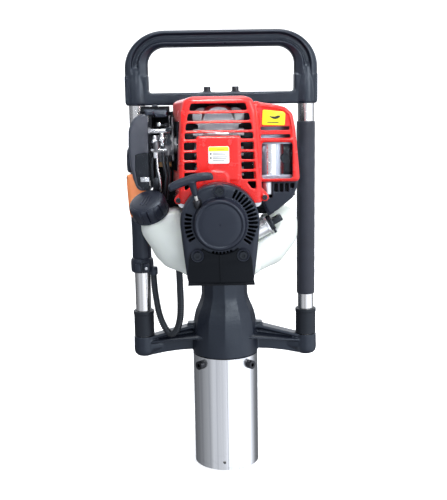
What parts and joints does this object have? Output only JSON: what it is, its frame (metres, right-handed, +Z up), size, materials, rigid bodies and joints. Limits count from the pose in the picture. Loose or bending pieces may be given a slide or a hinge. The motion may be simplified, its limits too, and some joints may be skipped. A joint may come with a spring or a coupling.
{
  "type": "post driver",
  "caption": "petrol post driver with a four-stroke engine, gear case and free-piston hammer over a steel post sleeve, carried in a two-tube frame with a cast top handle",
  "frame": {"origin": "centre of the mouth of the post sleeve, on the hammer axis", "axes": "+Z up along the hammer axis, the engine faces -Y, the throttle handle is on -X"},
  "size_m": [0.2834, 0.2499, 0.6615],
  "materials": {
    "post_sleeve": "brushed stainless",
    "sleeve_screws": "black oxide",
    "barrel_housing": "textured black powder coat on a casting",
    "left_damper": "moulded",
    "right_damper": "moulded",
    "left_tube": "polished stainless",
    "right_tube": "polished stainless",
    "top_handle": "textured black powder coat on a casting",
    "handle_screws": "black oxide",
    "handle_isolators": "moulded",
    "grip_sleeve": "matte foam",
    "guide_bush": "turned",
    "buffer_ring": "moulded",
    "anvil": "hardened",
    "ram": "hardened and ground",
    "cylinder_liner": "honed",
    "drive_piston": "machined",
    "connecting_rod": "forged",
    "crank_gear": "cut teeth",
    "case_bearings": "ground",
    "gear_case": "textured black powder coat on a casting",
    "case_bolts": "black oxide",
    "gear_cover": "textured black powder coat on a casting",
    "cover_screws": "black oxide",
    "clutch_drum": "machined",
    "clutch_shoes": "sintered",
    "crankshaft": "ground",
    "engine_rod": "forged",
    "engine_piston": "machined",
    "flywheel": "die cast",
    "crankcase": "die cast",
    "cylinder_block": "die cast",
    "spark_plug_cap": "moulded",
    "ignition_coil": "potted",
    "fan_cover": "gloss red",
    "recoil_starter": "fine texture",
    "starter_screws": "black oxide",
    "starter_reel": "moulded",
    "starter_rope": "braided",
    "starter_grip": "moulded",
    "tank_guard": "fine texture",
    "fuel_tank": "translucent white",
    "fuel_cap": "ribbed",
    "fuel_cap_seal": "moulded",
    "oil_cap": "moulded",
    "oil_cap_seal": "moulded",
    "air_cleaner_base": "moulded",
    "air_cleaner_cover": "dark grey",
    "air_filter": "oiled foam",
    "carburetor": "die cast",
    "choke_lever": "moulded",
    "primer_bulb": "moulded",
    "throttle_lever": "zinc plated",
    "muffler": "bright sheet",
    "muffler_guard": "heat resistant black",
    "throttle_body": "fine texture",
    "throttle_trigger": "orange",
    "throttle_lock": "moulded",
    "stop_switch": "red",
    "throttle_cable": "corrugated conduit"
  },
  "bodies": {
    "frame": {"post_sleeve": "post_sleeve", "sleeve_screws": "sleeve_screws", "barrel_housing": "barrel_housing", "left_damper": "left_damper", "right_damper": "right_damper", "left_tube": "left_tube", "right_tube": "right_tube", "top_handle": "top_handle", "handle_screws": "handle_screws", "handle_isolators": "handle_isolators", "grip_sleeve": "grip_sleeve", "guide_bush": "guide_bush", "buffer_ring": "buffer_ring", "cylinder_liner": "cylinder_liner", "case_bearings": "case_bearings", "gear_case": "gear_case", "case_bolts": "case_bolts", "gear_cover": "gear_cover", "cover_screws": "cover_screws", "crankcase": "crankcase", "cylinder_block": "cylinder_block", "spark_plug_cap": "spark_plug_cap", "ignition_coil": "ignition_coil", "fan_cover": "fan_cover", "recoil_starter": "recoil_starter", "starter_screws": "starter_screws", "starter_rope": "starter_rope", "tank_guard": "tank_guard", "fuel_tank": "fuel_tank", "air_cleaner_base": "air_cleaner_base", "air_cleaner_cover": "air_cleaner_cover", "air_filter": "air_filter", "carburetor": "carburetor", "muffler": "muffler", "muffler_guard": "muffler_guard", "throttle_body": "throttle_body", "throttle_cable": "throttle_cable"},
    "anvil": {"anvil": "anvil"},
    "ram": {"ram": "ram"},
    "drive_piston": {"drive_piston": "drive_piston"},
    "crank_gear": {"crank_gear": "crank_gear"},
    "connecting_rod": {"connecting_rod": "connecting_rod"},
    "clutch_drum": {"clutch_drum": "clutch_drum"},
    "engine_shaft": {"crankshaft": "crankshaft", "flywheel": "flywheel", "clutch_shoes": "clutch_shoes"},
    "engine_rod": {"engine_rod": "engine_rod"},
    "engine_piston": {"engine_piston": "engine_piston"},
    "starter_reel": {"starter_reel": "starter_reel"},
    "starter_grip": {"starter_grip": "starter_grip"},
    "fuel_cap_seal": {"fuel_cap_seal": "fuel_cap_seal"},
    "fuel_cap": {"fuel_cap": "fuel_cap"},
    "oil_cap_seal": {"oil_cap_seal": "oil_cap_seal"},
    "oil_cap": {"oil_cap": "oil_cap"},
    "choke_lever": {"choke_lever": "choke_lever"},
    "primer_bulb": {"primer_bulb": "primer_bulb"},
    "throttle_lever": {"throttle_lever": "throttle_lever"},
    "throttle_trigger": {"throttle_trigger": "throttle_trigger"},
    "throttle_lock": {"throttle_lock": "throttle_lock"},
    "stop_switch": {"stop_switch": "stop_switch"}
  },
  "joints": [
    {"name": "anvil_lift", "type": "slide", "parent": "frame", "child": "anvil", "axis": [0, 0, 1], "range_m": [0, 0.024]},
    {"name": "ram_stroke", "type": "slide", "parent": "anvil", "child": "ram", "axis": [0, 0, 1], "range_m": [0, 0.038]},
    {"name": "drive_piston_stroke", "type": "slide", "parent": "frame", "child": "drive_piston", "axis": [0, 0, 1], "range_m": [0, 0.024]},
    {"name": "crank_gear_spin", "type": "hinge", "parent": "frame", "child": "crank_gear", "pos_m": [0, -0.016, 0.46183], "axis": [0, 1, 0], "continuous": true},
    {"name": "clutch_drum_spin", "type": "hinge", "parent": "frame", "child": "clutch_drum", "pos_m": [-0.0045, -0.03, 0.402], "axis": [0, 1, 0], "continuous": true},
    {"name": "connecting_rod_swing", "type": "hinge", "parent": "crank_gear", "child": "connecting_rod", "pos_m": [0, 0, 0.44983], "axis": [0, 1, 0], "continuous": true},
    {"name": "engine_shaft_spin", "type": "hinge", "parent": "frame", "child": "engine_shaft", "pos_m": [-0.0045, -0.1, 0.402], "axis": [0, 1, 0], "continuous": true},
    {"name": "engine_rod_swing", "type": "hinge", "parent": "engine_shaft", "child": "engine_rod", "pos_m": [-0.0045, -0.097, 0.415], "axis": [0, 1, 0], "continuous": true},
    {"name": "engine_piston_stroke", "type": "slide", "parent": "frame", "child": "engine_piston", "axis": [0, 0, 1], "range_m": [-0.026, 0]},
    {"name": "starter_pull", "type": "slide", "parent": "frame", "child": "starter_grip", "axis": [-0.208, -0.297, 0.932], "range_m": [0, 0.5], "stiffness_N_per_m": 6, "springref_m": -0.2, "deforming": ["starter_rope"]},
    {"name": "starter_reel_spin", "type": "hinge", "parent": "frame", "child": "starter_reel", "pos_m": [-0.0045, -0.17, 0.402], "axis": [0, 1, 0], "range_deg": [0, 1160]},
    {"name": "fuel_cap_lift", "type": "slide", "parent": "frame", "child": "fuel_cap_seal", "axis": [-0.2701, -0.5202, 0.8102], "range_m": [0, 0.05]},
    {"name": "fuel_cap_turn", "type": "hinge", "parent": "fuel_cap_seal", "child": "fuel_cap", "pos_m": [-0.0983, -0.117, 0.4089], "axis": [-0.2701, -0.5202, 0.8102], "range_deg": [0, 360]},
    {"name": "oil_cap_lift", "type": "slide", "parent": "frame", "child": "oil_cap_seal", "axis": [0.8713, 0, 0.4907], "range_m": [0, 0.04]},
    {"name": "oil_cap_turn", "type": "hinge", "parent": "oil_cap_seal", "child": "oil_cap", "pos_m": [0.062, -0.117, 0.3916], "axis": [0.8713, 0, 0.4907], "range_deg": [0, 720]},
    {"name": "choke_lever_swing", "type": "hinge", "parent": "frame", "child": "choke_lever", "pos_m": [-0.072, -0.114, 0.505], "axis": [0, 1, 0], "range_deg": [0, 30]},
    {"name": "primer_bulb_press", "type": "slide", "parent": "frame", "child": "primer_bulb", "axis": [0, 0, 1], "range_m": [0, 0.004], "stiffness_N_per_m": 100},
    {"name": "throttle_lever_swing", "type": "hinge", "parent": "frame", "child": "throttle_lever", "pos_m": [-0.076, -0.092, 0.527], "axis": [0, 0, 1], "range_deg": [0, 44]},
    {"name": "throttle_trigger_pull", "type": "hinge", "parent": "frame", "child": "throttle_trigger", "pos_m": [-0.125, -0.018, 0.449], "axis": [1, 0, 0], "range_deg": [0, 11], "stiffness_Nm_per_rad": 1},
    {"name": "throttle_lock_press", "type": "hinge", "parent": "frame", "child": "throttle_lock", "pos_m": [-0.125, 0.0195, 0.451], "axis": [-1, 0, 0], "range_deg": [0, 6], "stiffness_Nm_per_rad": 1},
    {"name": "stop_switch_slide", "type": "slide", "parent": "frame", "child": "stop_switch", "axis": [0, 0, 1], "range_m": [0, 0.005]}
  ],
  "couplings": [
    {"joint": "clutch_drum_spin", "follows": "crank_gear_spin", "ratio": -4},
    {"joint": "connecting_rod_swing", "follows": "crank_gear_spin", "ratio": -1},
    {"joint": "engine_rod_swing", "follows": "engine_shaft_spin", "ratio": -1},
    {"joint": "starter_reel_spin", "follows": "starter_pull", "rad_per_m": 40},
    {"joint": "throttle_lever_swing", "follows": "throttle_trigger_pull", "ratio": 4}
  ]
}
